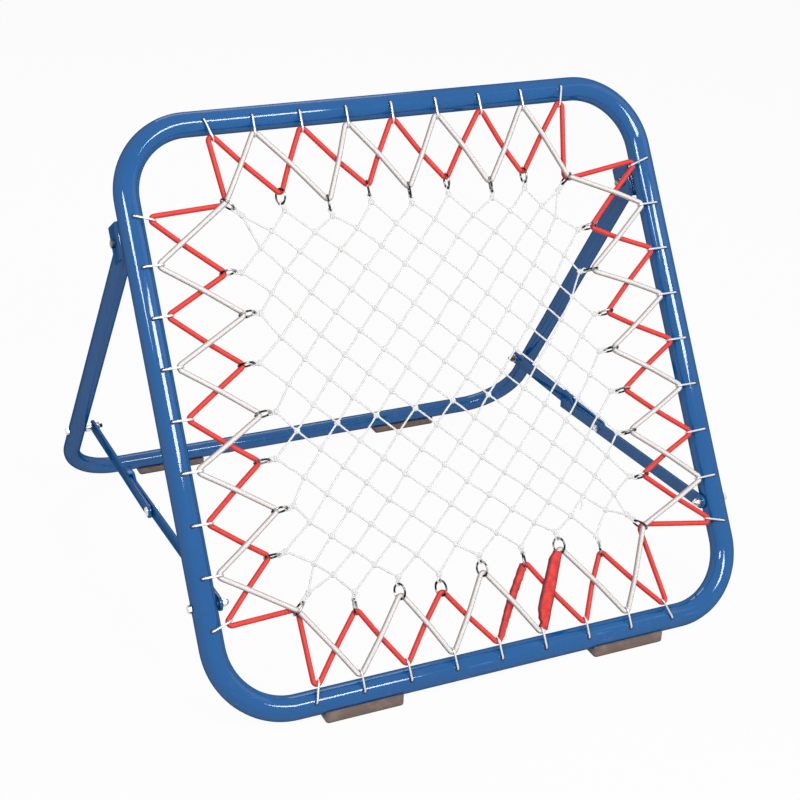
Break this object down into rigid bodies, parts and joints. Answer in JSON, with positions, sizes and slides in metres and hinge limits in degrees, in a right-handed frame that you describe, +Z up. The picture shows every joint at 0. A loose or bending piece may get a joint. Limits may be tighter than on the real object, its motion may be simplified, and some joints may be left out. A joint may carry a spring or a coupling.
{
  "type": "rebound frame",
  "caption": "Square tube frame leaning back on a folding rear frame, with a knotted net on elastic cords, wire hooks, steel rings, hinged side stays and rubber feet.",
  "frame": {"origin": "on the ground, in the middle of the object's outline seen from above", "axes": "+Z up, the net faces -Y, +X along the bottom bar to the right of someone who faces the net"},
  "size_m": [1.0312, 0.9431, 0.8625],
  "materials": {
    "blue_paint": "gloss",
    "zinc_steel": "zinc plated",
    "dark_steel": "dull zinc",
    "red_elastic": "woven cover",
    "white_elastic": "woven cover",
    "red_tape": "wrinkled tape",
    "white_twine": "knotted twine",
    "brown_rubber": "matte"
  },
  "bodies": {
    "front_frame": {"front_frame_tube": "blue_paint", "net": "white_twine", "red_cord_with_hooks_and_rings": "red_elastic", "white_cord_with_hooks_and_rings": "white_elastic", "red_cord_sleeve": "red_tape", "white_cord_sleeve": "red_tape", "top_left_corner_ring": "dark_steel", "top_right_corner_ring": "dark_steel", "bottom_right_corner_ring": "dark_steel", "bottom_left_corner_ring": "dark_steel", "front_left_foot": "brown_rubber", "front_right_foot": "brown_rubber", "left_hinge_bracket": "blue_paint", "left_hinge_bolt": "dark_steel", "left_hinge_washer": "zinc_steel", "left_hinge_nut": "dark_steel", "left_front_pivot_bolt": "zinc_steel", "left_front_pivot_outer_washer": "dark_steel", "left_front_pivot_inner_washer": "dark_steel", "left_front_pivot_domed_nut": "zinc_steel", "right_hinge_bracket": "blue_paint", "right_hinge_bolt": "dark_steel", "right_hinge_washer": "zinc_steel", "right_hinge_nut": "dark_steel", "right_front_pivot_bolt": "zinc_steel", "right_front_pivot_outer_washer": "dark_steel", "right_front_pivot_inner_washer": "dark_steel", "right_front_pivot_domed_nut": "zinc_steel"},
    "rear_frame": {"rear_frame_tube": "blue_paint", "rear_left_foot": "brown_rubber", "rear_right_foot": "brown_rubber", "left_rear_pivot_bolt": "zinc_steel", "left_rear_pivot_spacer": "zinc_steel", "right_rear_pivot_bolt": "zinc_steel", "right_rear_pivot_spacer": "zinc_steel"},
    "left_front_stay": {"left_stay_front_bar": "blue_paint", "left_knee_bolt": "zinc_steel", "left_knee_washer": "dark_steel", "left_knee_nut": "zinc_steel"},
    "left_rear_stay": {"left_stay_rear_bar": "blue_paint", "left_rear_pivot_bolt_end": "dark_steel", "left_rear_pivot_washer": "zinc_steel", "left_rear_pivot_nut": "dark_steel"},
    "right_front_stay": {"right_stay_front_bar": "blue_paint", "right_knee_bolt": "zinc_steel", "right_knee_washer": "dark_steel", "right_knee_nut": "zinc_steel"},
    "right_rear_stay": {"right_stay_rear_bar": "blue_paint", "right_rear_pivot_bolt_end": "dark_steel", "right_rear_pivot_washer": "zinc_steel", "right_rear_pivot_nut": "dark_steel"}
  },
  "joints": [
    {"name": "rear_fold", "type": "hinge", "parent": "front_frame", "child": "rear_frame", "pos_m": [0, 0.01528, 0.67071], "axis": [-1, 0, 0], "range_deg": [0, 66.1]},
    {"name": "left_front_stay_hinge", "type": "hinge", "parent": "front_frame", "child": "left_front_stay", "pos_m": [-0.4542, -0.34901, 0.18959], "axis": [1, 0, 0], "range_deg": [0, 54.05]},
    {"name": "left_knee_hinge", "type": "hinge", "parent": "left_front_stay", "child": "left_rear_stay", "pos_m": [-0.459, 0.0028, 0.17225], "axis": [-1, 0, 0], "range_deg": [0, 173.27]},
    {"name": "right_front_stay_hinge", "type": "hinge", "parent": "front_frame", "child": "right_front_stay", "pos_m": [0.4542, -0.34901, 0.18959], "axis": [1, 0, 0], "range_deg": [0, 54.05]},
    {"name": "right_knee_hinge", "type": "hinge", "parent": "right_front_stay", "child": "right_rear_stay", "pos_m": [0.459, 0.0028, 0.17225], "axis": [-1, 0, 0], "range_deg": [0, 173.27]}
  ],
  "couplings": [
    {"joint": "left_front_stay_hinge", "follows": "rear_fold", "ratio": 0.81758},
    {"joint": "left_knee_hinge", "follows": "rear_fold", "ratio": 2.6212},
    {"joint": "right_front_stay_hinge", "follows": "rear_fold", "ratio": 0.81758},
    {"joint": "right_knee_hinge", "follows": "rear_fold", "ratio": 2.6212}
  ]
}
